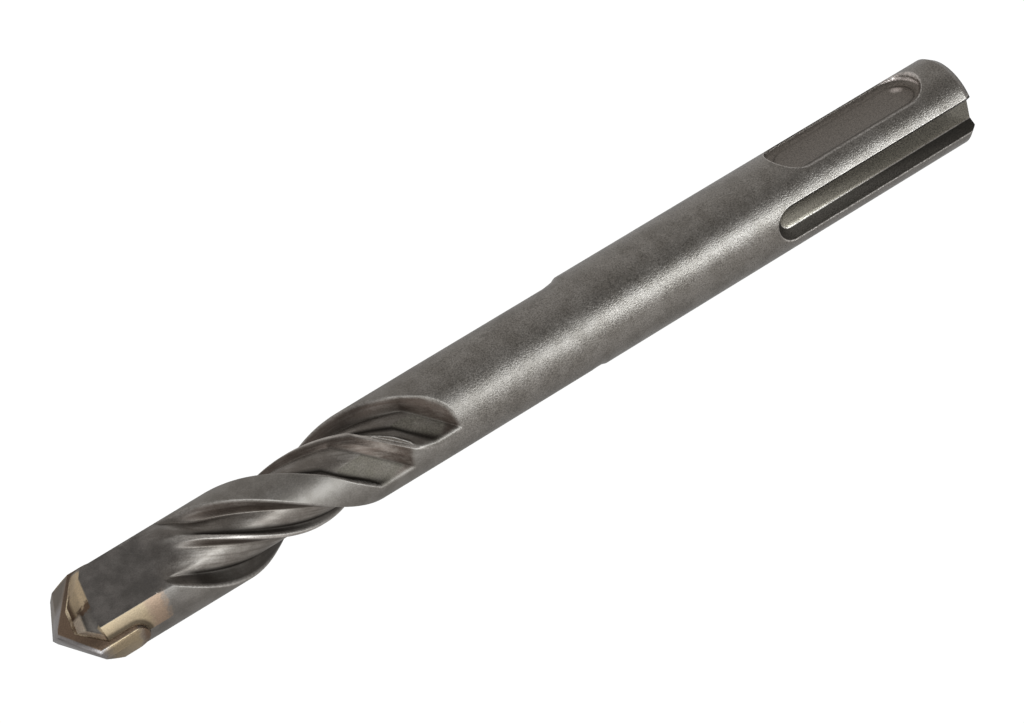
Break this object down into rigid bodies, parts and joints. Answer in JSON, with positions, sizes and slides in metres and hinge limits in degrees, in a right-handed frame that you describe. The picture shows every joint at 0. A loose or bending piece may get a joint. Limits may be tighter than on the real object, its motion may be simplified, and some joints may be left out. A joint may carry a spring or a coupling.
{
  "type": "sds-plus masonry drill bit",
  "caption": "Slotted quick-change hammer drill bit with a plain neck, right-hand flutes with flat-floored pocket run-outs, and a brazed carbide plate across its roof-shaped point.",
  "frame": {"origin": "Centre of the flat end face of the shank.", "axes": "+Z runs along the bit's axis, from the end of the shank up to the point. The bit stands on the end of its shank on the floor, at Z = 0. +X and -X point out of the two open drive grooves, and +Y and -Y out of the two closed locking grooves."},
  "size_m": [0.0101, 0.01, 0.11],
  "materials": {
    "bead_blasted_steel": "bead blasted, satin",
    "sintered_carbide": "ground tungsten carbide",
    "brazing_alloy": "heat stained brazing alloy"
  },
  "bodies": {
    "root": {"steel_body": "bead_blasted_steel", "carbide_tip": "sintered_carbide", "braze_filler": "brazing_alloy"}
  },
  "joints": []
}
